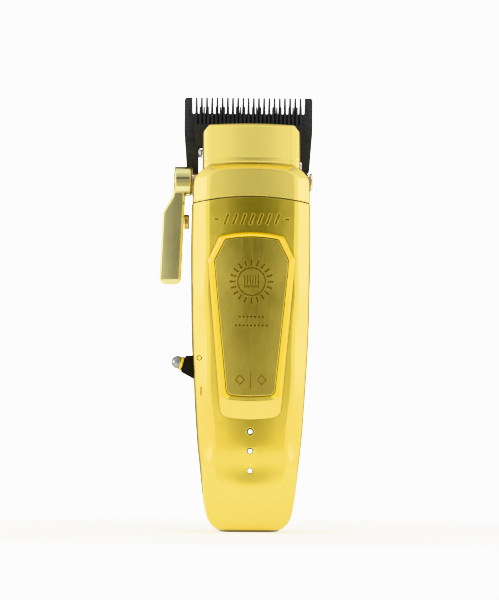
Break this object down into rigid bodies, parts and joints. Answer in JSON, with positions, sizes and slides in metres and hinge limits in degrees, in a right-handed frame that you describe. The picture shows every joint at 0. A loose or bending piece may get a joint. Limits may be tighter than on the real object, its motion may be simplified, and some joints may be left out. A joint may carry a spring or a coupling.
{
  "type": "hair clipper",
  "caption": "Cordless hair clipper with a tapered metal body, a bevelled front panel, an adjustable toothed blade, a side taper lever and a side toggle switch.",
  "frame": {"origin": "centre of the flat base that the clipper stands on", "axes": "+Z along the clipper from the base to the blade tips, -Y out of the front face with the panel, +X to the right of someone who looks at the front"},
  "size_m": [0.0565, 0.0368, 0.1608],
  "materials": {
    "gold_shell": "satin gold plate over die-cast metal",
    "gold_polished": "polished gold plate",
    "gold_inlay": "brushed dull gold",
    "black_blade": "black coated steel",
    "steel": "bare steel",
    "bronze": "oiled bronze",
    "nylon": "moulded nylon",
    "black_plastic": "fine grain",
    "motor_case": "zinc plated",
    "laminations": "stacked sheet",
    "copper": "turned copper",
    "contact_gold": "gold flash",
    "chrome": "polished",
    "lens": "clear light pipe",
    "battery_sleeve": "shrink sleeve over a metal can",
    "board": "solder mask",
    "chip": "moulded epoxy",
    "led": "diffused epoxy",
    "seal": "soft rubber",
    "lead_cover": "soft insulation"
  },
  "bodies": {
    "housing": {"front_shell": "gold_shell", "back_shell": "gold_shell", "shoulder_collar": "gold_shell", "head_cap": "gold_shell", "head_frame": "black_plastic", "panel_frame": "gold_polished", "panel_inlay": "gold_inlay", "base_plug": "black_plastic", "charge_contacts": "contact_gold", "charge_jack": "black_plastic", "jack_pin": "contact_gold", "rating_plate": "gold_inlay", "shell_screws": "steel", "collar_screws": "steel", "battery_lights": "lens", "light_grommets": "black_plastic", "lever_bushes": "bronze", "motor_can": "motor_case", "motor_end_bell": "black_plastic", "motor_bearings": "steel", "motor_magnets": "laminations", "motor_screws": "steel", "inner_chassis": "black_plastic", "battery_cell": "battery_sleeve", "battery_tabs": "steel", "control_board": "board", "board_chips": "chip", "board_sockets": "nylon", "led_chips": "led", "board_screws": "steel", "motor_leads": "lead_cover", "jack_leads": "lead_cover", "toggle_pin": "steel", "switch_housing": "black_plastic", "switch_terminals": "contact_gold", "seam_seal": "seal"},
    "lever": {"taper_lever": "gold_shell", "lever_screw": "gold_polished", "lever_shaft": "steel", "eccentric_discs": "steel", "shaft_end_cap": "gold_polished", "detent_stud": "gold_polished"},
    "blade_carrier": {"fixed_blade": "black_blade", "blade_bracket": "steel", "blade_screws": "steel", "tension_spring": "steel"},
    "cutter": {"moving_cutter": "black_blade", "cutter_guide": "black_plastic", "guide_rivets": "steel", "drive_yoke": "black_plastic"},
    "rotor": {"rotor_core": "laminations", "commutator": "copper", "motor_shaft": "steel", "crank_cam": "steel", "crank_roller": "bronze"},
    "toggle": {"toggle_paddle": "black_plastic", "toggle_collar": "gold_polished", "toggle_ball": "chrome"}
  },
  "joints": [
    {"name": "taper_lever", "type": "hinge", "parent": "housing", "child": "lever", "pos_m": [0, 0.002, 0.1294], "axis": [-1, 0, 0], "range_deg": [0, 65]},
    {"name": "blade_slide", "type": "slide", "parent": "housing", "child": "blade_carrier", "axis": [0, 0, 1], "range_m": [-0.0024, 0]},
    {"name": "cutter_slide", "type": "slide", "parent": "housing", "child": "cutter", "axis": [1, 0, 0], "range_m": [-0.0012, 0.0012]},
    {"name": "motor_spin", "type": "hinge", "parent": "housing", "child": "rotor", "pos_m": [0, -0.001, 0.1], "axis": [0, 0, 1], "continuous": true},
    {"name": "toggle_switch", "type": "hinge", "parent": "housing", "child": "toggle", "pos_m": [-0.012, -0.004, 0.058], "axis": [0, -1, 0], "range_deg": [0, 35]}
  ],
  "couplings": [
    {"joint": "taper_lever", "follows": "blade_slide", "rad_per_m": -472.69}
  ]
}
